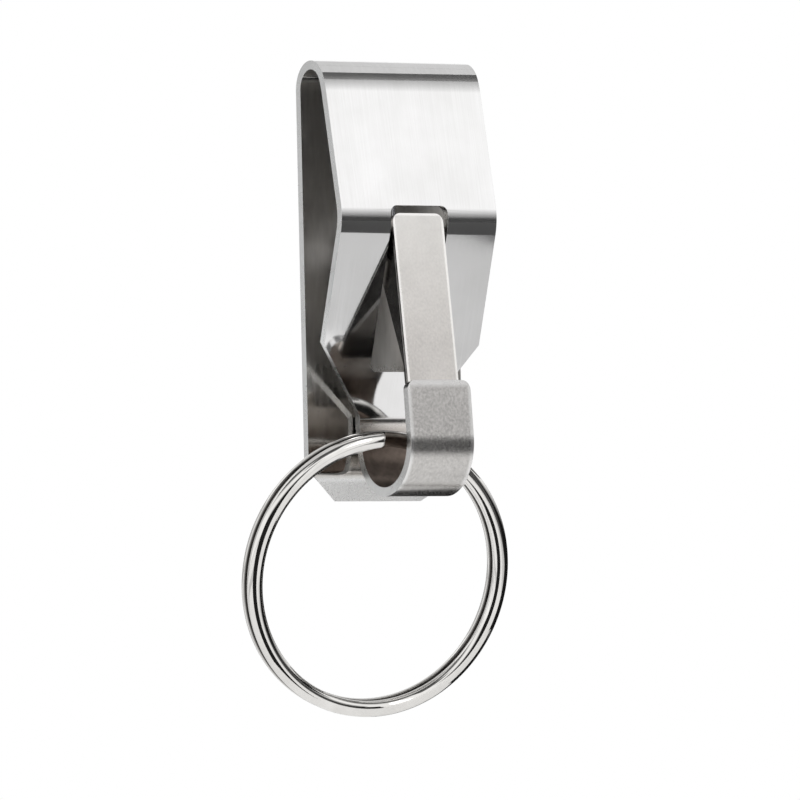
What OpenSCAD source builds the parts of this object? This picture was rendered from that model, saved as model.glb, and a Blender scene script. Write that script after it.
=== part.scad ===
// Belt key clip: one spring steel strip, bent into a loop that opens downwards, with a
// key hook at its foot, a sprung gate that closes the hook, and a split ring.
// Millimetres. X runs across the clip, Y points to the back and Z points up.
// The origin is on the back plate's front face, on the centre line, at the height of
// the inner top of the top bend.

/* [Strip] */
// Thickness of the spring steel strip
strip_t = 1.2; // [0.9:0.1:1.4]
// Width of the strip round the loop
strip_w = 24; // [20:1:36]
// Width of the strip along the hook
hook_w = 9.7; // [8.7:0.1:12]

/* [Belt loop] */
// Clear depth of the loop under the top bend
belt_gap = 5.6; // [4.8:0.1:7]
// Straight length of the upper front plate
upper_len = 17.6; // [16:0.2:22]
// Lean of the upper front plate away from the back plate, in degrees
upper_tilt = 12.4; // [10:0.2:14]
// Lean of the lower front plate towards the back plate, in degrees
lower_tilt = 18.9; // [18:0.1:21]
// Inside radius of the bend between the two front plates
mid_bend_r = 3; // [1.5:0.1:4]
// Gap at the mouth, where the front plate springs against the back plate
mouth_gap = 0.35; // [0.2:0.05:0.8]
// Straight length of the back plate below the top bend
back_len = 51; // [46:1:56]

/* [Lead-in lip] */
// Lean of the lip at the foot of the back plate, in degrees
lip_tilt = 38; // [20:1:45]
// Straight length of the lip
lip_len = 3.1; // [2:0.1:5]
// Inside radius of the lip's bend
lip_bend_r = 1.5; // [0.8:0.1:3]
// Width cut from each corner of the lip
lip_corner_w = 5.3; // [2:0.1:7]

/* [Hook] */
// Height of the taper from the full width to the hook's width
taper_h = 9.5; // [7:0.1:12]
// Inside radius of the bend at the mouth
mouth_bend_r = 1.8; // [1:0.1:3]
// Lean of the hook's back leg, in degrees
leg_tilt = 8; // [4:0.5:12]
// Straight length of the hook's back leg
leg_len = 3.6; // [2:0.1:6]
// Inside radius of the hook's trough
trough_r = 6.05; // [5.5:0.05:7]
// Lean of the hook's front leg back towards the gate, in degrees
front_tilt = 5.4; // [2:0.2:8]
// Straight length of the hook's front leg
front_len = 7.4; // [6:0.1:10]
// Corner radius of the hook's tip
tip_r = 1.3; // [0.5:0.1:2]

/* [Gate] */
// Width of the gate's face
gate_w = 7.8; // [6.6:0.1:8]
// Thickness of the gate's face
gate_t = 0.9; // [0.7:0.1:1.1]
// Thickness of the gate's two cheeks
cheek_t = 0.7; // [0.5:0.1:0.9]
// Corner radius of the gate's face
gate_r = 1.2; // [0.5:0.1:2]
// How far the gate's top edge lies behind the bend's outer face
gate_sink = 0.65; // [0.3:0.05:1]
// Height of the gate's top edge above the axis of the bend
gate_rise = 0.3; // [0:0.1:0.8]
// Length of the gate that reaches down behind the hook's tip
gate_lap = 2.1; // [1:0.1:3]
// Space between the gate and the sides of its slot
slot_side_gap = 0.5; // [0.3:0.05:0.8]
// Height of the slot above the gate's top edge
slot_top_gap = 1; // [0.6:0.1:1.6]
// Height of the slot
slot_h = 22; // [20:0.2:23]
// Corner radius of the slot
slot_r = 1; // [0.5:0.1:2]

/* [Gate pin and spring] */
// Radius of the pin's shank
pin_r = 0.8; // [0.6:0.05:1]
// Distance of the pin behind the gate's front face
pin_back = 3.9; // [3.4:0.1:4.2]
// Distance of the pin below the gate's top edge
pin_drop = 3.9; // [3.5:0.1:5]
// Radius of the pin's heads
head_r = 1.3; // [1:0.1:1.5]
// Thickness of the pin's heads
head_t = 0.4; // [0.2:0.1:0.6]
// Thickness of the lugs that carry the pin
lug_t = 1.1; // [0.8:0.1:1.4]
// Wire diameter of the gate spring
spring_wire = 0.45; // [0.35:0.05:0.5]
// Radius of the spring's turns, to the middle of the wire
spring_r = 1.35; // [1.2:0.05:1.5]

/* [Split ring] */
// Outside diameter of the split ring
ring_od = 38.7; // [35:0.1:42]
// Thickness of the ring's wire across the ring
ring_radial = 2.3; // [1.8:0.05:2.8]
// Thickness of one turn of the ring along its axis
turn_t = 1.12; // [0.8:0.02:1.2]
// Width cut from each corner of the wire
wire_chamfer = 0.34; // [0.1:0.02:0.4]
// Space between the two turns
turn_gap = 0.44; // [0.42:0.02:0.6]
// Distance of the ring's centre to the left of the hook's middle
ring_aside = 5.8; // [3:0.1:8]
// Distance of the ring's centre behind the middle of the trough
ring_back = 1.45; // [0:0.05:2]
// Lean of the hanging ring, its foot to the back, in degrees
ring_tilt = 12.4; // [0:0.2:15]
// Turn of the ring about the upright, in degrees
ring_yaw = -3.6; // [-12:0.2:0]

/* [Hidden] */
$fn = 96;

// Running clearance, press clearance, and overrun of the cuts
run_gap = 0.06;
press_gap = 0.02;
rest_gap = 0.08;
cut = 1;
// Angle between the points of a bend
bend_step = 4;

// The side view is drawn in [y, z]. A plate that leans by a tilt runs down along
// down(tilt), and its outer face looks along ahead(tilt).
function ahead(tilt) = [-cos(tilt), sin(tilt)];
function down(tilt) = [-sin(tilt), -cos(tilt)];

// Point where a line from a point touches a circle, on its left (1) or right (-1)
function touch(from, centre, r, side) =
    let (v = from - centre, d = norm(v), a = atan2(v[1], v[0]) + side * acos(r / d))
    centre + r * [cos(a), sin(a)];

// Top bend and upper front plate
top_r = belt_gap / 2;
top_axis = [-top_r, -top_r];
upper_start = top_axis + top_r * ahead(upper_tilt);
upper_end = upper_start + upper_len * down(upper_tilt);

// Bend between the front plates, and lower front plate down to the mouth
mid_axis = upper_end - mid_bend_r * ahead(upper_tilt);
lower_start = mid_axis + mid_bend_r * ahead(-lower_tilt);
mouth_outer_r = mouth_bend_r + strip_t;
lower_len = (-lower_start[0] - mouth_gap - mouth_outer_r * (1 - cos(lower_tilt))) / sin(lower_tilt);
lower_end = lower_start + lower_len * down(-lower_tilt);
taper_top = lower_end[1] + taper_h;

// Mouth bend, back leg, trough and front leg of the hook
mouth_axis = lower_end + mouth_outer_r * ahead(-lower_tilt);
leg_start = mouth_axis - mouth_outer_r * ahead(leg_tilt);
leg_end = leg_start + leg_len * down(leg_tilt);
trough_axis = leg_end + (trough_r + strip_t) * ahead(leg_tilt);
front_start = trough_axis + trough_r * ahead(front_tilt);
front_end = front_start - front_len * down(front_tilt);
trough_low = trough_axis[1] - trough_r;

// Back plate and lip, whose bend turns about an axis behind the plate
back_end = -top_r - back_len;
lip_axis = [strip_t + lip_bend_r, back_end];
lip_start = lip_axis + lip_bend_r * ahead(-lip_tilt);
lip_end = lip_start + lip_len * down(-lip_tilt);
lip_low = lip_end[1] - strip_t * sin(lip_tilt);

// Gate: its top edge is just behind the bend, its foot rests on the hook's front leg
gate_top = [mid_axis[0] - mid_bend_r - strip_t + gate_sink, mid_axis[1] + gate_rise];
gate_foot_z = front_end[1] - gate_lap;
hook_inner_y = front_end[0] - gate_lap * tan(front_tilt);
gate_foot = [hook_inner_y + rest_gap, gate_foot_z];
gate_len = norm(gate_foot - gate_top);
gate_tilt = atan2(gate_top[0] - gate_foot[0], gate_top[1] - gate_foot[1]);
cheek_len = gate_len - gate_lap - slot_r;
boss_r = pin_r + gate_t;
pin = gate_top + pin_drop * down(gate_tilt) - pin_back * ahead(gate_tilt);

// Slot in the front plates that the gate swings into
slot_w = gate_w + 2 * slot_side_gap;
slot_top = gate_top[1] + slot_top_gap;
slot_foot = slot_top - slot_h;

// Lugs at the slot's sides
lug_r = pin_r + lug_t;
lug_foot = 2 * lug_r;

// Gate spring, wound round the pin between the cheeks
spring_half = gate_w / 2 - cheek_t - spring_wire;
spring_turns = 5;
curl_rings = 8;
wire_sides = 6;
fixed_reach = 2;
gate_reach = 9;
fixed_tip = upper_end - fixed_reach * down(upper_tilt) - spring_wire * ahead(upper_tilt);
free_tip = gate_top + (pin_drop + gate_reach) * down(gate_tilt)
    - (gate_t + spring_wire / 2 + rest_gap) * ahead(gate_tilt);
fixed_touch = touch(fixed_tip, pin, spring_r, 1);
free_touch = touch(free_tip, pin, spring_r, -1);
coil_from = atan2(fixed_touch[1] - pin[1], fixed_touch[0] - pin[0]);
coil_to = atan2(free_touch[1] - pin[1], free_touch[0] - pin[0]);
coil_sweep = coil_to - coil_from + 360 * (coil_to > coil_from ? spring_turns - 1 : spring_turns);

// Split ring: it hangs in the trough, and its wire rests on the trough's inner face
ring_ro = ring_od / 2;
ring_ri = ring_ro - ring_radial;
turn_pitch = turn_t + turn_gap;
ring_half = (turn_pitch + turn_t) / 2;
function ring_lay(p) =
    let (y = p[1] * cos(ring_tilt) - p[2] * sin(ring_tilt), z = p[1] * sin(ring_tilt) + p[2] * cos(ring_tilt))
    [p[0] * cos(ring_yaw) - y * sin(ring_yaw), p[0] * sin(ring_yaw) + y * cos(ring_yaw), z];
function seat_z(y) = trough_axis[1] - sqrt(pow(trough_r - rest_gap, 2) - pow(y - trough_axis[0], 2));
ring_y = trough_axis[0] + ring_back;
ring_z = max([
    for (a = [0 : 180], side = [-1, 1])
        let (p = ring_lay([ring_ri * cos(a), side * ring_half, ring_ri * sin(a)]))
        if (abs(p[0] - ring_aside) <= hook_w / 2) seat_z(ring_y + p[1]) - p[2]
]);
ring_centre = [-ring_aside, ring_y, ring_z];
// The front turn's cut end, the stretch where the wire crosses, and the rear turn's end
front_cut = 92;
cross_from = 412;
cross_to = 448;
rear_cut = 772;
loop_rings = 60;

// A point of the side view as a place in space, at a distance across
function at(p, x = 0) = [x, p[0], p[1]];

// Solid between matching rings of points, closed at both ends
module skin(rings) {
    n = len(rings);
    m = len(rings[0]);
    polyhedron(
        points = [for (ring = rings) each ring],
        faces = concat(
            [for (i = [1 : m - 2]) [0, i + 1, i]],
            [for (j = [0 : n - 2], i = [0 : m - 1]) let (a = j * m + i, b = j * m + (i + 1) % m)
                each [[a, b, b + m], [a, b + m, a + m]]],
            [for (i = [1 : m - 2]) let (e = (n - 1) * m) [e, e + i, e + i + 1]]
        ),
        convexity = 10
    );
}

// One quarter-turned outline, raised across the clip from x to x + t
module side_slab(x, t) {
    translate([x, 0, 0]) rotate([90, 0, 90]) linear_extrude(t) children();
}

// An outline in the front view, driven forward from a plane behind it
module front_slab(back_y, depth) {
    translate([0, back_y, 0]) rotate([90, 0, 0]) linear_extrude(depth) children();
}

// An outline on the hook's front leg, whose height is measured down from the tip
module at_tip() {
    translate(at(front_end + cut * ahead(front_tilt + 180))) rotate([-front_tilt, 0, 0])
        rotate([90, 0, 0]) linear_extrude(strip_t + 2 * cut) children();
}

// Rectangle with round corners, from its lowest left corner
module round_rect(w, h, r) {
    translate([r, 0]) square([w - 2 * r, h]);
    translate([0, r]) square([w, h - 2 * r]);
    for (x = [r, w - r], y = [r, h - r]) translate([x, y]) circle(r);
}

// Ear with a round end, drawn between two feet on the piece that carries it
module ear_outline(foot_a, foot_b, centre, r, side = 1) {
    polygon([foot_a, touch(foot_a, centre, r, side), touch(foot_b, centre, r, -side), foot_b]);
    translate(centre) circle(r);
}

// Both faces of the strip in the side view, from the lip round to the hook's tip.
// Angle 0 is straight down, 90 is to the back and 180 is up.
function arc(axis, r, from, to) =
    let (n = ceil(abs(to - from) / bend_step))
    [for (i = [0 : n]) let (a = from + (to - from) * i / n) axis + r * [sin(a), -cos(a)]];
function strip_face(lip_r, loop_r, bend_r, hook_r, bowl_r) = concat(
    arc(lip_axis, lip_r, 270 + lip_tilt, 270),
    arc(top_axis, loop_r, 90, 270 - upper_tilt),
    arc(mid_axis, bend_r, 270 - upper_tilt, 270 + lower_tilt),
    arc(mouth_axis, hook_r, 90 + lower_tilt, 90 - leg_tilt),
    arc(trough_axis, bowl_r, 90 - leg_tilt, -90 - front_tilt)
);
inner_face = concat(
    [lip_end + strip_t * ahead(-lip_tilt)],
    strip_face(lip_bend_r + strip_t, top_r, mid_bend_r, mouth_outer_r, trough_r + strip_t),
    [front_end + strip_t * ahead(front_tilt)]
);
outer_face = concat(
    [lip_end],
    strip_face(lip_bend_r, top_r + strip_t, mid_bend_r + strip_t, mouth_bend_r, trough_r),
    [front_end]
);

module bent_strip() {
    side_slab(-strip_w / 2, strip_w)
        polygon(concat(inner_face, [for (i = [len(outer_face) - 1 : -1 : 0]) outer_face[i]]));
}

// What is trimmed off one side of the front plate to bring it to the hook's width
module taper_trim() {
    foot_z = trough_low - strip_t - cut;
    trim_w = strip_w / 2 + cut - hook_w / 2;
    front_slab(-mouth_gap / 2, strip_w) polygon([
        [strip_w / 2, taper_top], [strip_w / 2 + cut, taper_top],
        [strip_w / 2 + cut, foot_z], [hook_w / 2, foot_z], [hook_w / 2, lower_end[1]]
    ]);
    front_slab(trough_axis[0], strip_w) translate([hook_w / 2, foot_z])
        square([trim_w, front_end[1] + cut - foot_z]);
}

// What is trimmed off one corner of the lip
module lip_trim() {
    front_slab(strip_w / 2, strip_w / 2 + mouth_gap / 2) polygon([
        [strip_w / 2, back_end], [strip_w / 2 + cut, back_end],
        [strip_w / 2 + cut, lip_low - cut], [strip_w / 2 - lip_corner_w, lip_low - cut],
        [strip_w / 2 - lip_corner_w, lip_low]
    ]);
}

// What is trimmed off one corner of the hook's tip
module tip_trim() {
    at_tip() translate([hook_w / 2 - tip_r, -tip_r]) difference() {
        square(tip_r + cut);
        circle(tip_r);
    }
}

module gate_slot() {
    front_slab(-mouth_gap, strip_w) translate([-slot_w / 2, slot_foot])
        round_rect(slot_w, slot_top - slot_foot, slot_r);
}

module pin_lugs() {
    foot = lower_start - strip_t / 2 * [1, 0];
    for (side = [0, 1]) mirror([side, 0, 0]) side_slab(slot_w / 2, lug_t)
        ear_outline(foot, foot + lug_foot * down(-lower_tilt), pin, lug_r, -1);
}

module clip_body() {
    color("gainsboro") difference() {
        union() {
            difference() {
                bent_strip();
                gate_slot();
                for (side = [0, 1]) mirror([side, 0, 0]) {
                    taper_trim();
                    lip_trim();
                    tip_trim();
                }
            }
            pin_lugs();
        }
        side_slab(-strip_w / 2, strip_w) translate(pin) circle(pin_r + press_gap);
    }
}

module gate_lever() {
    turned_pin = [pin_back, -pin_drop];
    color("tan") difference() {
        translate(at(gate_top)) rotate([-gate_tilt, 0, 0]) {
            translate([-gate_w / 2, gate_t, -gate_len]) rotate([90, 0, 0])
                linear_extrude(gate_t) round_rect(gate_w, gate_len, gate_r);
            for (side = [0, 1]) mirror([side, 0, 0]) side_slab(gate_w / 2 - cheek_t, cheek_t)
                ear_outline([gate_t / 2, -gate_r], [gate_t / 2, -cheek_len], turned_pin, boss_r, -1);
        }
        side_slab(-strip_w / 2, strip_w) translate(pin) circle(pin_r + run_gap);
    }
}

module gate_pin() {
    shank = slot_w + 2 * lug_t + 2 * press_gap;
    color("silver") {
        side_slab(-shank / 2, shank) translate(pin) circle(pin_r);
        for (side = [0, 1]) mirror([side, 0, 0]) side_slab(shank / 2, head_t) translate(pin) circle(head_r);
    }
}

// Middle line of the spring's wire: fixed leg, turns about the pin, and gate leg
function coil_point(share) =
    let (a = coil_from + coil_sweep * share)
    at(pin + spring_r * [cos(a), sin(a)], spring_half * (2 * share - 1));
coil_steps = spring_turns * curl_rings;
spring_path = concat(
    [at(fixed_tip, -spring_half)],
    [for (i = [0 : coil_steps]) coil_point(i / coil_steps)],
    [at(free_tip, spring_half)]
);

// Unit direction of a path at a point, from its neighbours
function along(path, i) =
    let (v = path[min(i + 1, len(path) - 1)] - path[max(i - 1, 0)]) v / norm(v);

// Least distance between stretches of the spring that lie half a turn or more apart
spring_gap = min([for (i = [1 : coil_steps - curl_rings / 2], j = [i + curl_rings / 2 : coil_steps])
    norm(spring_path[i] - spring_path[j])]) - spring_wire;
echo(spring_gap = spring_gap);

module gate_spring() {
    across = [1, 0, 0];
    color("dimgray") skin([for (i = [0 : len(spring_path) - 1])
        let (t = along(spring_path, i), u0 = cross(t, across), u = u0 / norm(u0), v = cross(t, u))
        [for (k = [0 : wire_sides - 1]) let (a = 360 * k / wire_sides)
            spring_path[i] + spring_wire / 2 * (cos(a) * u + sin(a) * v)]
    ]);
}

// Offset of the ring's wire along the ring's axis at an angle round it: the front
// turn lies ahead, and the wire crosses to the rear turn in one smooth stretch
function wire_offset(a) =
    let (s = min(1, max(0, (a - cross_from) / (cross_to - cross_from))))
    turn_pitch * (s * s * (3 - 2 * s) - 1 / 2);

// Section of the ring's wire: a bar with broken corners, in [radius, offset]
wire_mid_r = ring_ri + ring_radial / 2;
wire_section = [
    for (q = [[1, 1, 0, 1], [-1, 1, 1, 0], [-1, -1, 0, 1], [1, -1, 1, 0]], end = [0, 1])
        let (cut_r = end == 0 ? q[2] : q[3], cut_y = 1 - cut_r)
        [q[0] * (ring_radial / 2 - cut_r * wire_chamfer), q[1] * (turn_t / 2 - cut_y * wire_chamfer)]
];
ring_step = 360 / loop_rings;

// Least gap between the turns, measured wherever both run side by side
turn_clear = min([for (a = [front_cut : ring_step : rear_cut - 360])
    abs(wire_offset(a + 360) - wire_offset(a))]) - turn_t;
echo(turn_clear = turn_clear);

module split_ring() {
    color("lightgray") translate(ring_centre) rotate([ring_tilt, 0, ring_yaw])
        skin([for (a = [front_cut : ring_step : rear_cut])
            [for (p = wire_section)
                [(wire_mid_r + p[0]) * cos(a), wire_offset(a) + p[1], (wire_mid_r + p[0]) * sin(a)]]
        ]);
}

clip_body();
gate_lever();
gate_pin();
gate_spring();
split_ring();
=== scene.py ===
import math
import bmesh
import bpy
from mathutils import Matrix, Vector


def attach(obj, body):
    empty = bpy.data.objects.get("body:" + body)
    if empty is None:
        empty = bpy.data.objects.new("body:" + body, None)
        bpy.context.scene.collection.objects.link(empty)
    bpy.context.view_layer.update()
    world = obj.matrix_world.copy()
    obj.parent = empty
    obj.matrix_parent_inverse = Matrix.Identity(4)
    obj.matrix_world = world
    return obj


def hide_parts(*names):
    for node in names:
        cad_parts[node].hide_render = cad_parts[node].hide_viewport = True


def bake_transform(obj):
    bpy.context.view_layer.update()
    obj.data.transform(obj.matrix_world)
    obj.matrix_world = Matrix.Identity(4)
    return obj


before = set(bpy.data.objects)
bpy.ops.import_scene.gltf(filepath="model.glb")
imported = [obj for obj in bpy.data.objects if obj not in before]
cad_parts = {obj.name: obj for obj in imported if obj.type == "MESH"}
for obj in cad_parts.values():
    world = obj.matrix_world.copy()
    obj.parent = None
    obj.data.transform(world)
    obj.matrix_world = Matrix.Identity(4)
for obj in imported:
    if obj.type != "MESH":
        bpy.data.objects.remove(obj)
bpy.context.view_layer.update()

# Camera. It stands 1.2 m off, to the left of the clip's front and level with its hook,
# with a long lens, and the whole clip and its ring fill the height of the picture.
MM = 0.001
lens = bpy.data.cameras.new("camera")
camera = bpy.data.objects.new("camera", lens)
bpy.context.collection.objects.link(camera)
bpy.context.scene.camera = camera
lens.sensor_width, lens.lens = 36, 399.6
lens.clip_start, lens.clip_end = 0.05, 20
stand = Vector((-597.31, -1037.44, -96.16)) * MM
look = Vector((0.5, 0.86495, 0.04322)).normalized()
sideways = Vector((0.86603, -0.49949, -0.02268)).normalized()
turned = Matrix((sideways, sideways.cross(look), -look)).transposed().to_4x4()
camera.matrix_world = Matrix.Translation(stand) @ turned

# Studio. A pale floor runs out under the clip and white surrounds it, and three soft
# panels light it. Dark screens round it, cards on the floor and a hoop overhead give the
# bright metal something to mirror: all of them show in its reflections only.
scene = bpy.context.scene
scene.view_settings.view_transform = "Standard"
world = bpy.data.worlds.new("studio")
scene.world = world
world.use_nodes = True
nodes, links = world.node_tree.nodes, world.node_tree.links
nodes.clear()
path = nodes.new("ShaderNodeLightPath")
seen = nodes.new("ShaderNodeMath")
seen.operation = "MAXIMUM"
shown = nodes.new("ShaderNodeMath")
shown.operation = "MAXIMUM"
links.new(path.outputs["Is Camera Ray"], seen.inputs[0])
links.new(path.outputs["Is Glossy Ray"], seen.inputs[1])
links.new(seen.outputs[0], shown.inputs[0])
links.new(path.outputs["Is Transmission Ray"], shown.inputs[1])
fill = nodes.new("ShaderNodeBackground")
fill.inputs["Color"].default_value = (1, 1, 1, 1)
fill.inputs["Strength"].default_value = 0.6
white = nodes.new("ShaderNodeBackground")
white.inputs["Color"].default_value = (1, 1, 1, 1)
white.inputs["Strength"].default_value = 1
mixed = nodes.new("ShaderNodeMixShader")
links.new(shown.outputs[0], mixed.inputs["Fac"])
links.new(fill.outputs[0], mixed.inputs[1])
links.new(white.outputs[0], mixed.inputs[2])
sky = nodes.new("ShaderNodeOutputWorld")
links.new(mixed.outputs[0], sky.inputs["Surface"])


def lamp(name, stand, size, watts, colour):
    data = bpy.data.lights.new(name, "AREA")
    data.shape = "RECTANGLE"
    data.size, data.size_y = size
    data.energy = watts
    data.color = colour
    obj = bpy.data.objects.new(name, data)
    bpy.context.collection.objects.link(obj)
    turned = (clip_middle - Vector(stand)).to_track_quat("-Z", "Y").to_matrix().to_4x4()
    obj.matrix_world = Matrix.Translation(stand) @ turned
    return obj


clip_middle = Vector((0, 0, -0.04))
front_panel = lamp("front_panel", (0.75, -0.95, 0.75), (0.5, 0.4), 6, (1, 0.99, 0.98))
left_panel = lamp("left_panel", (-0.8, -0.3, 0.9), (0.5, 0.5), 5, (0.98, 0.99, 1))
front_panel.visible_glossy = left_panel.visible_glossy = False
lamp("slim_panel", (0.3, -1.2, 0.3), (0.12, 0.5), 0.35, (1, 1, 1))


def shader(name, base, metallic, roughness):
    mat = bpy.data.materials.new(name)
    mat.use_nodes = True
    bsdf = mat.node_tree.nodes["Principled BSDF"]
    bsdf.inputs["Base Color"].default_value = (*base, 1)
    bsdf.inputs["Metallic"].default_value = metallic
    bsdf.inputs["Roughness"].default_value = roughness
    return mat, mat.node_tree, bsdf


def to_mesh(bm, name):
    mesh = bpy.data.meshes.new(name)
    bm.to_mesh(mesh)
    bm.free()
    obj = bpy.data.objects.new(name, mesh)
    bpy.context.collection.objects.link(obj)
    return obj


ground_z, ground_half = -0.118, 4
ground = bmesh.new()
bmesh.ops.create_grid(ground, x_segments=1, y_segments=1, size=ground_half)
bmesh.ops.translate(ground, vec=(0, 0, ground_z), verts=ground.verts)
floor = to_mesh(ground, "floor")
paint, tree, bsdf = shader("floor_paint", (0.88, 0.88, 0.88), 0, 0.8)
coords = tree.nodes.new("ShaderNodeTexCoord")
grain = tree.nodes.new("ShaderNodeTexNoise")
grain.inputs["Scale"].default_value = 40
tree.links.new(coords.outputs["Object"], grain.inputs["Vector"])
mottle = tree.nodes.new("ShaderNodeMapRange")
mottle.inputs["To Min"].default_value = 0.87
mottle.inputs["To Max"].default_value = 0.89
tree.links.new(grain.outputs["Fac"], mottle.inputs["Value"])
tree.links.new(mottle.outputs["Result"], bsdf.inputs["Base Color"])
floor.data.materials.append(paint)


def card(name, profile, from_deg, sweep, see_through=0, fade=None, tone=0.07):
    sheet = bmesh.new()
    turned = Matrix.Rotation(math.radians(from_deg - 90), 3, "Z")
    rim = [sheet.verts.new(turned @ Vector((out, 0, z))) for out, z in profile]
    line = [sheet.edges.new(pair) for pair in zip(rim, rim[1:])]
    bmesh.ops.spin(sheet, geom=rim + line, cent=(0, 0, 0), axis=(0, 0, 1), angle=math.radians(sweep),
                   steps=48, use_merge=sweep == 360)
    obj = to_mesh(sheet, name)
    cloth, tree, bsdf = shader(name + "_cloth", (tone, tone, tone), 0, 0.9)
    bsdf.inputs["Specular IOR Level"].default_value = 0
    clear = tree.nodes.new("ShaderNodeBsdfTransparent")
    blend = tree.nodes.new("ShaderNodeMixShader")
    blend.inputs["Fac"].default_value = see_through
    tree.links.new(bsdf.outputs[0], blend.inputs[1])
    tree.links.new(clear.outputs[0], blend.inputs[2])
    tree.links.new(blend.outputs[0], tree.nodes["Material Output"].inputs["Surface"])
    if fade:
        coords = tree.nodes.new("ShaderNodeTexCoord")
        parts = tree.nodes.new("ShaderNodeSeparateXYZ")
        tree.links.new(coords.outputs["Object"], parts.inputs[0])
        thin = tree.nodes.new("ShaderNodeMapRange")
        thin.inputs["From Min"].default_value, thin.inputs["From Max"].default_value = fade
        tree.links.new(parts.outputs["Z"], thin.inputs["Value"])
        tree.links.new(thin.outputs["Result"], blend.inputs["Fac"])
    obj.data.materials.append(cloth)
    obj.visible_camera = obj.visible_diffuse = False
    obj.visible_shadow = obj.visible_transmission = False


cloth_z, mat_z, card_z, hoop_z, cover_z = -0.1165, -0.1168, -0.117, 0.9, 0.91
wall_r, far_r, black = 0.8, 0.79, 0.01
wall_fade = (-0.03, 0.22)
card("front_screen", ((0.045, cloth_z), (wall_r, cloth_z), (wall_r, 0.15)), -40, 42,
     fade=(-0.02, 0.12), tone=0.015)
card("upper_left_screen", ((wall_r, 0.25), (wall_r, 0.7)), -18, 20, 0.15, tone=black)
card("slim_screen", ((0.18, cloth_z), (wall_r, cloth_z), (wall_r, 0.02)), 20, 8, tone=black)
card("grey_screen", ((0.182, cloth_z), (wall_r, cloth_z), (wall_r, 0.3)), 24, 22, fade=wall_fade)
card("right_screen", ((0.1, cloth_z), (wall_r, cloth_z), (wall_r, 0.3)), 46, 104, fade=wall_fade, tone=black)
card("corner_screen", ((wall_r, 0.03), (wall_r, 0.26)), 43, 19, tone=black)
card("high_screen", ((wall_r, 0.22), (wall_r, 0.55)), 60, 52, 0.1, tone=black)
card("far_screen", ((0.2, cloth_z), (far_r, cloth_z), (far_r, 0.1)), 130, 50, 0.05, tone=black)
card("right_mat", ((0.05, mat_z), (0.1, mat_z)), 60, 90, tone=black)
card("back_screen", ((wall_r, cloth_z), (wall_r, 0.5)), -178, 62, 0.5)
card("table_card", ((0.14, card_z), (0.2, card_z)), 20, 325, 0.66)
card("hoop", ((0.62, hoop_z), (1.12, hoop_z)), -100, 205, 0.05)
card("hoop_brim", ((1.12, hoop_z), (1.65, 0.84)), -100, 205, fade=(0.95, 0.84))
card("hoop_cover", ((0, cover_z), (0.62, cover_z)), 0, 360, 0.62)
card("back_cover", ((0.6, cover_z), (2.1, cover_z)), 105, 95, 0.62)

# Clip strip. One strip of nickel plated spring steel, 1.2 mm thick and 24 mm wide,
# blanked with a tapered end and a slot, tumbled till its edges are round, and then
# bent at five places from the lip to the hook's tip.
strip_t, strip_w, hook_w = 1.2 * MM, 24 * MM, 9.7 * MM
edge_r = 0.34 * MM
lip_end_y, lip_end_z, lip_rise = 2.9537 * MM, -57.5357 * MM, 128.0
lip_start_z, lip_corner = -53.8 * MM, 1.419
lip_len, foot_turn, foot_r, back_len = 3.1 * MM, -38, 2.1 * MM, 51 * MM
top_turn, top_r, ease_turn, ease_r, upper_len = 158, 3.3386 * MM, 9.6, 12 * MM, 15.4949 * MM
mid_turn, mid_r, lower_len, taper_len = 31.6232, 7 * MM, 15.3948 * MM, 10.061 * MM
neck_len, mouth_turn, mouth_r, leg_len = 0.1906 * MM, -27.2232, 2.4 * MM, 3.6 * MM
hook_turn, hook_r, tip_len, tip_r = -177.4, 6.65 * MM, 7.4 * MM, 1.3 * MM
slot_w, slot_top_z, slot_foot_z, slot_r = 8.8 * MM, -18.7324 * MM, -40.7324 * MM, 1 * MM
strip = bmesh.new()
ends = [strip.verts.new((x, lip_end_y, lip_end_z)) for x in (-strip_w / 2, strip_w / 2)]
row = [strip.edges.new(ends)]
heading = lip_rise


def points_in(out):
    return [v for v in out if isinstance(v, bmesh.types.BMVert)]


def far_row(out):
    new = set(points_in(out))
    return [e for e in out if isinstance(e, bmesh.types.BMEdge) and new.issuperset(e.verts)]


def run_on(length, wide=None):
    global row
    out = bmesh.ops.extrude_edge_only(strip, edges=row)["geom"]
    moved = points_in(out)
    a = math.radians(heading)
    bmesh.ops.translate(strip, vec=(0, length * math.cos(a), length * math.sin(a)), verts=moved)
    row = far_row(out)
    if wide:
        bmesh.ops.scale(strip, vec=(wide / row[0].calc_length(), 1, 1), verts=moved)


def bend_on(turn, radius):
    global row, heading
    side = math.radians(heading + math.copysign(90, turn))
    here = row[0].verts[0].co
    centre = (0, here.y + radius * math.cos(side), here.z + radius * math.sin(side))
    out = bmesh.ops.spin(strip, geom=row + list(row[0].verts), cent=centre, axis=(1, 0, 0),
                         angle=math.radians(turn), steps=max(8, round(abs(turn) / 3)))["geom_last"]
    row = far_row(out)
    heading += turn


run_on(lip_len)
bend_on(foot_turn, foot_r)
run_on(back_len)
bend_on(top_turn, top_r)
bend_on(ease_turn, ease_r)
run_on(upper_len)
bend_on(mid_turn, mid_r)
run_on(lower_len)
run_on(taper_len, wide=hook_w)
run_on(neck_len)
bend_on(mouth_turn, mouth_r)
run_on(leg_len)
bend_on(hook_turn, hook_r)
run_on(tip_len)
bmesh.ops.bevel(strip, geom=list(row[0].verts), offset=tip_r, segments=6, profile=0.5,
                affect="VERTICES", material=-1)
for v in strip.verts:
    if v.co.y > -strip_t and v.co.z < lip_start_z:
        v.co.x -= math.copysign((lip_start_z - v.co.z) * lip_corner, v.co.x)
bmesh.ops.recalc_face_normals(strip, faces=strip.faces)
clip = to_mesh(strip, "clip_strip")

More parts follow.
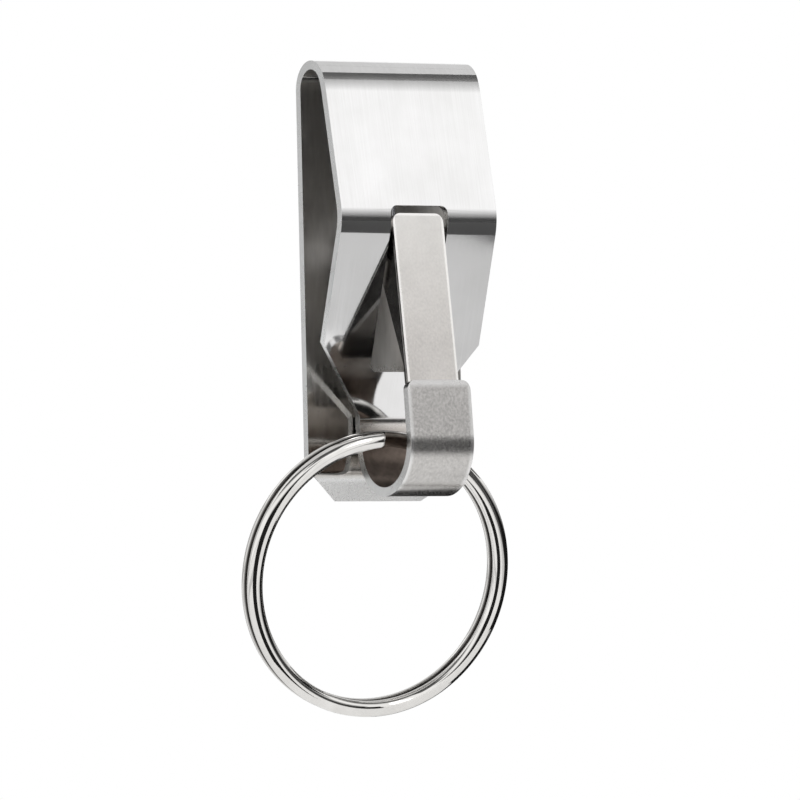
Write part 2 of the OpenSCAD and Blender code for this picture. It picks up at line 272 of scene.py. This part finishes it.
punch_len, punch_y = 24 * MM, -12.35 * MM
punch = bmesh.new()
bmesh.ops.create_cube(punch, size=1)
bmesh.ops.scale(punch, vec=(slot_w, punch_len, slot_top_z - slot_foot_z), verts=punch.verts)
bmesh.ops.translate(punch, vec=(0, punch_y, (slot_top_z + slot_foot_z) / 2), verts=punch.verts)
corners = [e for e in punch.edges if abs(e.verts[0].co.y - e.verts[1].co.y) > slot_w]
bmesh.ops.bevel(punch, geom=corners, offset=slot_r, segments=6, profile=0.5, affect="EDGES", material=-1)
slot_punch = to_mesh(punch, "slot_punch")
for part in (clip, slot_punch):
    for mat in (None, None):
        part.data.materials.append(mat)
for face in slot_punch.data.polygons:
    face.material_index = 1


def finish(obj, bevel_w, cutter=None, joined=None, edge_slot=-1):
    if cutter or joined:
        cut = obj.modifiers.new("cut", "BOOLEAN")
        cut.operation = "DIFFERENCE" if cutter else "UNION"
        cut.solver = "EXACT"
        cut.object = cutter or joined
    soft = obj.modifiers.new("edges", "BEVEL")
    soft.width = bevel_w
    soft.segments = 4
    soft.limit_method = "ANGLE"
    soft.angle_limit = math.radians(40)
    soft.harden_normals = True
    soft.material = edge_slot
    fair = obj.modifiers.new("fair", "WEIGHTED_NORMAL")
    fair.keep_sharp = True
    obj.data.shade_smooth()
    shaped = obj.evaluated_get(bpy.context.evaluated_depsgraph_get())
    made = bpy.data.meshes.new_from_object(shaped)
    obj.modifiers.clear()
    obj.data = made
    for tool in (cutter, joined):
        if tool:
            bpy.data.objects.remove(tool)


wall_t = clip.modifiers.new("thickness", "SOLIDIFY")
wall_t.thickness = strip_t
wall_t.offset = 0
wall_t.use_even_offset = True
wall_t.material_offset_rim = 1
finish(clip, edge_r, cutter=slot_punch, edge_slot=1)


def noise(tree, scale, stretch, detail=2.0):
    coords = tree.nodes.new("ShaderNodeTexCoord")
    laid = tree.nodes.new("ShaderNodeMapping")
    laid.inputs["Scale"].default_value = stretch
    tree.links.new(coords.outputs["Object"], laid.inputs["Vector"])
    tex = tree.nodes.new("ShaderNodeTexNoise")
    tex.inputs["Scale"].default_value = scale
    tex.inputs["Detail"].default_value = detail
    tree.links.new(laid.outputs["Vector"], tex.inputs["Vector"])
    return tex.outputs["Fac"]


def spread(tree, value, low, high, lowest=0.3, highest=0.7):
    fit = tree.nodes.new("ShaderNodeMapRange")
    fit.inputs["From Min"].default_value = lowest
    fit.inputs["From Max"].default_value = highest
    fit.inputs["To Min"].default_value = low
    fit.inputs["To Max"].default_value = high
    tree.links.new(value, fit.inputs["Value"])
    return fit.outputs["Result"]


def tinted(tree, fac, dark, pale):
    mix = tree.nodes.new("ShaderNodeMix")
    mix.data_type = "RGBA"
    mix.inputs["A"].default_value = (*dark, 1)
    mix.inputs["B"].default_value = (*pale, 1)
    tree.links.new(fac, mix.inputs["Factor"])
    return mix.outputs["Result"]


def brushed_steel(name, dark, pale, smooth, rough, depth, streak=(7000, 90, 90)):
    mat, tree, bsdf = shader(name, pale, 1, rough)
    streaks = noise(tree, 1, streak, 4)
    smears = noise(tree, 140, (1, 1, 1), 3)
    both = tree.nodes.new("ShaderNodeMath")
    both.operation = "MULTIPLY_ADD"
    both.inputs[1].default_value = 0.6
    tree.links.new(streaks, both.inputs[0])
    tree.links.new(spread(tree, smears, 0, 0.4), both.inputs[2])
    fac = spread(tree, both.outputs[0], 0, 1)
    tree.links.new(tinted(tree, fac, dark, pale), bsdf.inputs["Base Color"])
    tree.links.new(spread(tree, fac, smooth, rough, 0, 1), bsdf.inputs["Roughness"])
    bump = tree.nodes.new("ShaderNodeBump")
    bump.inputs["Strength"].default_value = 1
    bump.inputs["Distance"].default_value = depth
    tree.links.new(streaks, bump.inputs["Height"])
    tree.links.new(bump.outputs["Normal"], bsdf.inputs["Normal"])
    return mat


def placed(tree, at, lean, turned=0):
    coords = tree.nodes.new("ShaderNodeTexCoord")
    seat = tree.nodes.new("ShaderNodeMapping")
    seat.vector_type = "TEXTURE"
    seat.inputs["Location"].default_value = at
    seat.inputs["Rotation"].default_value = (lean, 0, turned)
    tree.links.new(coords.outputs["Object"], seat.inputs["Vector"])
    parts = tree.nodes.new("ShaderNodeSeparateXYZ")
    tree.links.new(seat.outputs["Vector"], parts.inputs[0])
    return parts.outputs


def worked(tree, how, one, two=None):
    sum_up = tree.nodes.new("ShaderNodeMath")
    sum_up.operation = how
    for value, socket in zip((one, two), sum_up.inputs):
        if isinstance(value, (int, float)):
            socket.default_value = value
        elif value:
            tree.links.new(value, socket)
    return sum_up.outputs[0]


def over(tree, mask, colour, roughness):
    bsdf = tree.nodes["Principled BSDF"]
    for socket, value in (("Base Color", colour), ("Roughness", roughness)):
        under = bsdf.inputs[socket].links[0].from_socket
        mix = tree.nodes.new("ShaderNodeMix")
        mix.data_type = "RGBA" if socket == "Base Color" else "FLOAT"
        tree.links.new(mask, mix.inputs["Factor"])
        sides = [i for i in mix.inputs if i.enabled and i.name in "AB"]
        tree.links.new(under, sides[0])
        tree.links.new(value, sides[1])
        tree.links.new([o for o in mix.outputs if o.enabled][0], bsdf.inputs[socket])


def times(tree, one, two):
    return worked(tree, "MULTIPLY", one, two)


def past(tree, value, low, high):
    return spread(tree, value, 0, 1, low, high)


def short_of(tree, value, low, high):
    return spread(tree, value, 1, 0, low, high)


plate = brushed_steel("strip_steel", (0.87, 0.865, 0.86), (0.96, 0.955, 0.955), 0.04, 0.09, 0.0000004)
tree = plate.node_tree
trough_at, trough_r, front_tilt = (0, -8.05966 * MM, -50.3907 * MM), 6.05 * MM, math.radians(-5.4)
across, ahead, up = placed(tree, trough_at, front_tilt)
deep_side, level = placed(tree, (0, 0, 0), 0)[1:3]
grit = spread(tree, noise(tree, 1, (3200, 2800, 2800), 4), 0, 1, 0.32, 0.68)
rolled = noise(tree, 300, (6, 1, 1), 4)
rub = noise(tree, 800, (1, 1, 1), 3)
trough_shade_mottle = spread(tree, noise(tree, 900, (1, 1, 1), 3), 0, 1)
# Each finish and each painted shade sets in between the two numbers of its pair.
satin_top, leg_top, outer_r = (8.8 * MM, 9.4 * MM), (2.6 * MM, 4.4 * MM), (7.5 * MM, 7.8 * MM)
rim_z, rim_x = (6.3 * MM, 6.9 * MM), (4.2 * MM, 4.6 * MM)
trough_shade_r, dark_top = (trough_r + 0.35 * MM, trough_r + 0.6 * MM), (0.5 * MM, 3 * MM)
lip_y, lip_top = (0.1 * MM, 0.3 * MM), (lip_start_z - 0.9 * MM, lip_start_z - 0.2 * MM)
loop_front, loop_back, matt_z = (-0.5 * MM, -0.3 * MM), (0.3 * MM, 0.5 * MM), (-44 * MM, -38 * MM)
below = worked(tree, "MINIMUM", up, 0)
squares = worked(tree, "ADD", worked(tree, "POWER", ahead, 2.0), worked(tree, "POWER", below, 2.0))
off_axis = worked(tree, "POWER", squares, 0.5)
upper_back = times(tree, worked(tree, "GREATER_THAN", ahead, 0), past(tree, up, *leg_top))
hook_only = times(tree, short_of(tree, up, *satin_top), worked(tree, "SUBTRACT", 1, upper_back))
hook_only = times(tree, hook_only, short_of(tree, off_axis, *outer_r))
flank = past(tree, worked(tree, "ABSOLUTE", across), *rim_x)
polished = times(tree, worked(tree, "MAXIMUM", past(tree, up, *rim_z), flank), hook_only)
# Painted dark reflection: the inside face of the hook's bend is coloured darker and browner than the plates,
# and near black from about the bend's axis down, for the dark things it mirrors.
trough_shade = times(tree, short_of(tree, off_axis, *trough_shade_r), hook_only)
trough_deep_shade = times(tree, trough_shade, short_of(tree, up, *dark_top))
lip_only = times(tree, past(tree, deep_side, *lip_y), short_of(tree, level, *lip_top))
# Painted dark reflection: the back plate's inner face is coloured darker and browner than the plates, for
# the dark things it mirrors; its upper part also gets a rougher, matt finish.
loop_face_shade_and_matt = times(tree, short_of(tree, deep_side, *loop_back), past(tree, deep_side, *loop_front))
loop_rough = worked(tree, "ADD", spread(tree, rolled, 0.06, 0.14), spread(tree, level, 0, 0.26, *matt_z))

over(tree, hook_only, tinted(tree, grit, (0.54, 0.525, 0.51), (0.74, 0.72, 0.7)),
     spread(tree, grit, 0.2, 0.26, 0, 1))
# Painted dark reflection on the back plate's inner face, with its rougher finish.
over(tree, loop_face_shade_and_matt, tinted(tree, rolled, (0.5, 0.48, 0.455), (0.72, 0.7, 0.67)), loop_rough)
over(tree, lip_only, tinted(tree, grit, (0.76, 0.76, 0.755), (0.88, 0.875, 0.87)),
     spread(tree, grit, 0.26, 0.32, 0, 1))
over(tree, polished, tinted(tree, rub, (0.86, 0.85, 0.84), (0.97, 0.96, 0.95)),
     spread(tree, rub, 0.2, 0.28))
# Painted dark reflection inside the hook's bend: a darker brown tone, and a near black one lower down.
over(tree, trough_shade, tinted(tree, trough_shade_mottle, (0.76, 0.71, 0.67), (0.92, 0.87, 0.82)),
     spread(tree, trough_shade_mottle, 0.26, 0.36, 0, 1))
over(tree, trough_deep_shade, tinted(tree, trough_shade_mottle, (0.15, 0.12, 0.1), (0.26, 0.21, 0.18)),
     spread(tree, trough_shade_mottle, 0.3, 0.42, 0, 1))
edge_steel = brushed_steel("strip_edges", (0.83, 0.83, 0.825), (0.94, 0.945, 0.94), 0.22, 0.32, 0.000001,
                           (1200, 1200, 1200))
clip.data.materials[0], clip.data.materials[1] = plate, edge_steel
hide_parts("clip_body")
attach(clip, "clip")

# Pin lugs. Two small ears of the same strip, turned back at the sides of the slot, that
# carry the ends of the gate's pin.
pin_y, pin_z, pin_r = -6.62909 * MM, -24.148 * MM, 0.8 * MM
lug_t, lug_r, lug_edge = 1.1 * MM, 1.9 * MM, 0.2 * MM
lug_roots = ((-9.75 * MM, -21.1 * MM), (-8.65 * MM, -24.4 * MM))


def ear(bm, side, xs, radius, eye, roots):
    start = len(bm.verts)
    for x in xs:
        disc = bmesh.ops.create_circle(bm, cap_ends=False, segments=32, radius=radius)["verts"]
        bmesh.ops.rotate(bm, cent=(0, 0, 0), matrix=Matrix.Rotation(math.pi / 2, 3, "Y"), verts=disc)
        bmesh.ops.translate(bm, vec=(side * x, *eye), verts=disc)
        for root in roots:
            bm.verts.new((side * x, *root))
    bm.verts.ensure_lookup_table()
    bmesh.ops.convex_hull(bm, input=bm.verts[start:], use_existing_faces=False)


ears = bmesh.new()
for side in (-1, 1):
    ear(ears, side, (slot_w / 2, slot_w / 2 + lug_t), lug_r, (pin_y, pin_z), lug_roots)
bmesh.ops.dissolve_limit(ears, angle_limit=math.radians(2), verts=ears.verts, edges=ears.edges)
lugs = to_mesh(ears, "pin_lugs")
finish(lugs, lug_edge)
lugs.data.materials.append(plate)
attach(lugs, "clip")

# Gate. A pressed cover of 0.9 mm steel whose two cheeks fold back to the pin, with a
# satin nickel face: it closes the hook from behind and gives way backwards.
gate_w, gate_t, gate_len, gate_r, gate_edge = 7.8 * MM, 0.9 * MM, 25.077 * MM, 1.2 * MM, 0.3 * MM
cheek_t, cheek_r, cheek_eye, cheek_foot = 0.7 * MM, 1.7 * MM, 3.9 * MM, -21.977 * MM
gate_at, gate_tilt = (0, -9.93401 * MM, -19.7324 * MM), math.radians(8.1865)
cover = bmesh.new()
bmesh.ops.create_grid(cover, x_segments=1, y_segments=1, size=0.5)
bmesh.ops.scale(cover, vec=(gate_w, gate_len, 1), verts=cover.verts)
bmesh.ops.bevel(cover, geom=list(cover.verts), offset=gate_r, segments=7, profile=0.5,
                affect="VERTICES", material=-1)
bmesh.ops.rotate(cover, cent=(0, 0, 0), matrix=Matrix.Rotation(math.pi / 2, 3, "X"), verts=cover.verts)
bmesh.ops.translate(cover, vec=(0, 0, -gate_len / 2), verts=cover.verts)
rear = bmesh.ops.extrude_face_region(cover, geom=list(cover.faces))["geom"]
bmesh.ops.translate(cover, vec=(0, gate_t, 0), verts=points_in(rear))
bmesh.ops.recalc_face_normals(cover, faces=cover.faces)
gate = to_mesh(cover, "gate_cover")

folds = bmesh.new()
for side in (-1, 1):
    ear(folds, side, (gate_w / 2 - cheek_t, gate_w / 2), cheek_r, (cheek_eye, -cheek_eye),
        ((gate_t / 2, -gate_r), (gate_t / 2, cheek_foot)))
bmesh.ops.dissolve_limit(folds, angle_limit=math.radians(2), verts=folds.verts, edges=folds.edges)
bmesh.ops.recalc_face_normals(folds, faces=folds.faces)
cheeks = to_mesh(folds, "cheeks")
finish(gate, gate_edge, joined=cheeks)
gate.data.transform(Matrix.Translation(gate_at) @ Matrix.Rotation(-gate_tilt, 4, "X"))

satin = brushed_steel("gate_satin", (0.66, 0.635, 0.61), (0.92, 0.885, 0.85), 0.3, 0.42, 0.000004,
                      (3400, 2600, 2600))
tree = satin.node_tree
across, ahead, up = placed(tree, gate_at, -gate_tilt)
face_y, inside_y, side_x = (0.3 * MM, 0.4 * MM), (0.4 * MM, 0.55 * MM), (3.5 * MM, 3.65 * MM)
end_z = (gate_len / 2 - 0.4 * MM, gate_len / 2 - 0.25 * MM)
# The gate's face turns paler towards its top end.
paler_to_top = spread(tree, up, 0, 0.7, -0.7 * gate_len, 0)
# Painted dark reflection: the gate's back face and cheeks, behind its front face, are coloured near black.
gate_inside_shade = past(tree, ahead, *inside_y)
side_rim = past(tree, worked(tree, "ABSOLUTE", across), *side_x)
off_middle = worked(tree, "ABSOLUTE", worked(tree, "ADD", up, gate_len / 2))
end_rim = past(tree, off_middle, *end_z)
rim = times(tree, worked(tree, "MAXIMUM", side_rim, end_rim), short_of(tree, ahead, *face_y))
smeared = noise(tree, 900, (1, 1, 1))
pressed = noise(tree, 1, (900, 900, 4000), 3)
rubbed = noise(tree, 700, (1, 1, 1), 3)
over(tree, paler_to_top, tinted(tree, smeared, (0.9, 0.88, 0.85), (0.98, 0.97, 0.94)),
     spread(tree, noise(tree, 400, (1, 1, 1)), 0.3, 0.4))
# Painted dark reflection on the gate's back face and cheeks.
over(tree, gate_inside_shade, tinted(tree, pressed, (0.1, 0.095, 0.09), (0.22, 0.21, 0.2)),
     spread(tree, noise(tree, 500, (1, 1, 1)), 0.16, 0.24))
over(tree, rim, tinted(tree, rubbed, (0.92, 0.9, 0.87), (0.97, 0.96, 0.94)),
     spread(tree, rubbed, 0.1, 0.22))
gate.data.materials.append(satin)
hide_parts("gate_lever")
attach(gate, "gate")

# Gate pin. A drawn steel rivet that runs through both lugs and the gate's cheeks, with a
# low domed head set down over each lug to hold it there.
pin_half, head_r = 5.52 * MM, 1.3 * MM
dome = ((0.4 * MM, 0), (0.38 * MM, 0.6 * MM), (0.28 * MM, 1.05 * MM), (0.1 * MM, 1.28 * MM), (0, head_r))


def smoothed(obj, degrees):
    obj.data.shade_smooth()
    obj.data.set_sharp_from_angle(angle=math.radians(degrees))


rivet = bmesh.new()
profile = [(-pin_half - x, r) for x, r in dome] + [(-pin_half, pin_r), (pin_half, pin_r)]
profile += [(pin_half + x, r) for x, r in reversed(dome)]
points = [rivet.verts.new((x, pin_y, pin_z + r)) for x, r in profile]
edges = [rivet.edges.new(pair) for pair in zip(points, points[1:])]
bmesh.ops.spin(rivet, geom=points + edges, cent=(0, pin_y, pin_z), axis=(1, 0, 0), angle=math.tau,
               steps=40, use_merge=True)
bmesh.ops.remove_doubles(rivet, verts=rivet.verts, dist=0.00001)
bmesh.ops.recalc_face_normals(rivet, faces=rivet.faces)
pin = to_mesh(rivet, "gate_rivet")
smoothed(pin, 50)
drawn_steel = brushed_steel("pin_steel", (0.6, 0.6, 0.61), (0.78, 0.78, 0.79), 0.16, 0.3, 0.000001,
                            (300, 5000, 5000))
pin.data.materials.append(drawn_steel)
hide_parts("gate_pin")
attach(pin, "clip")

# Gate spring. Four turns of 0.45 mm spring wire round the pin: one leg bears on the
# inside of the upper plate, the other goes with the back of the gate, and the turns
# between them wind up as the gate opens.
wire_r, coil_r, coil_half, coil_steps = 0.225 * MM, 1.35 * MM, 2.75 * MM, 120
fixed_tip = Vector((0, -8.4445 * MM, -17.5316 * MM))
free_tip = Vector((0, -10.578 * MM, -32.673 * MM))
pin_at = Vector((0, pin_y, pin_z))


def tangent(tip, side):
    v = tip - pin_at
    a = math.atan2(v.z, v.y) + side * math.acos(coil_r / v.length)
    return a, pin_at + coil_r * Vector((0, math.cos(a), math.sin(a)))


def with_points(loop):
    return loop + list({v for e in loop for v in e.verts})


from_a, first = tangent(fixed_tip, 1)
to_a, last = tangent(free_tip, -1)
wound = to_a - from_a + math.tau * (4 if to_a > from_a else 5)
coil = bmesh.new()
end_ring = bmesh.ops.create_circle(coil, cap_ends=False, segments=10, radius=wire_r)["verts"]
leg = first - fixed_tip
leg_turn = leg.to_track_quat("Z", "X").to_matrix().to_4x4()
bmesh.ops.transform(coil, verts=end_ring,
                    matrix=Matrix.Translation(fixed_tip - Vector((coil_half, 0, 0))) @ leg_turn)
out = bmesh.ops.extrude_edge_only(coil, edges=list(coil.edges))["geom"]
bmesh.ops.translate(coil, vec=leg, verts=points_in(out))
out = bmesh.ops.spin(coil, geom=with_points(far_row(out)), cent=pin_at, axis=(1, 0, 0), angle=wound,
                     steps=coil_steps, dvec=(2 * coil_half / coil_steps, 0, 0))["geom_last"]
out = bmesh.ops.extrude_edge_only(coil, edges=far_row(out))["geom"]
bmesh.ops.translate(coil, vec=free_tip - last, verts=points_in(out))
bmesh.ops.holes_fill(coil, edges=coil.edges, sides=0)
bmesh.ops.recalc_face_normals(coil, faces=coil.faces)
spring = to_mesh(coil, "gate_coil")
smoothed(spring, 50)
spring_wire = brushed_steel("spring_wire", (0.3, 0.3, 0.31), (0.5, 0.5, 0.52), 0.2, 0.35, 0.000001,
                            (900, 900, 900))
spring.data.materials.append(spring_wire)
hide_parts("gate_spring")
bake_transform(spring)

# Split ring. Two turns of rolled steel wire, 38.7 mm across, bright nickel plated: the
# wire is cut at the top, and crosses from one turn to the other behind the hook.
ring_mid_r, ring_radial, turn_t, turn_pitch = 18.25 * MM, 2.2 * MM, 1.6 * MM, 1.62 * MM
cut_at, cut_edge = math.radians(-92), 0.3 * MM
winding = ((320, 0), (9, 0.12), (9, 0.38), (9, 0.38), (9, 0.12), (324, 0))
ring_at = (-5.8 * MM, -6.60966 * MM, -67.9724 * MM)
ring_lean, ring_turned = math.radians(12.4), math.radians(-3.6)
wire = bmesh.new()
bmesh.ops.create_circle(wire, cap_ends=False, segments=28, radius=0.5)
bmesh.ops.scale(wire, vec=(ring_radial, turn_t, 1), verts=wire.verts)
bmesh.ops.translate(wire, vec=(ring_mid_r, -turn_pitch / 2, 0), verts=wire.verts)
bmesh.ops.rotate(wire, cent=(0, 0, 0), matrix=Matrix.Rotation(cut_at, 3, "Y"), verts=wire.verts)
loop = list(wire.edges)
for degrees, shift in winding:
    steps = max(3, round(degrees / 2))
    out = bmesh.ops.spin(wire, geom=with_points(loop), cent=(0, 0, 0), axis=(0, -1, 0),
                         angle=math.radians(degrees), steps=steps,
                         dvec=(0, shift * turn_pitch / steps, 0))["geom_last"]
    loop = far_row(out)
caps = bmesh.ops.holes_fill(wire, edges=wire.edges, sides=0)["faces"]
rims = list({e for f in caps for e in f.edges})
bmesh.ops.bevel(wire, geom=rims, offset=cut_edge, segments=4, profile=0.5, affect="EDGES", material=-1)
bmesh.ops.recalc_face_normals(wire, faces=wire.faces)
ring = to_mesh(wire, "key_ring")
hung = Matrix.Rotation(ring_turned, 4, "Z") @ Matrix.Rotation(ring_lean, 4, "X")
ring.data.transform(Matrix.Translation(ring_at) @ hung)
smoothed(ring, 60)

nickel = brushed_steel("ring_nickel", (0.8, 0.785, 0.76), (0.92, 0.905, 0.88), 0.02, 0.06, 0.0000002,
                       (400, 400, 400))
tree = nickel.node_tree
across, ahead, up = placed(tree, ring_at, ring_lean, ring_turned)
seam_y, crossing_z = (0.34 * MM, 0.6 * MM), 12 * MM
# Painted shade: where the two turns of wire meet, away from the crossing, the wire is coloured near black
# for the shade in the crevice between them.
seam_shade = short_of(tree, worked(tree, "ABSOLUTE", ahead), *seam_y)
crossing = times(tree, worked(tree, "GREATER_THAN", up, crossing_z), worked(tree, "GREATER_THAN", across, 0))
seam_shade = times(tree, seam_shade, worked(tree, "SUBTRACT", 1, crossing))
seam_shade_mottle = spread(tree, noise(tree, 600, (1, 1, 1), 3), 0, 1)
# Painted shade in the crevice between the ring's turns.
over(tree, seam_shade, tinted(tree, seam_shade_mottle, (0.012, 0.011, 0.01), (0.06, 0.055, 0.05)),
     spread(tree, seam_shade_mottle, 0.3, 0.5, 0, 1))
ring.data.materials.append(nickel)
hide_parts("split_ring")
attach(ring, "ring")
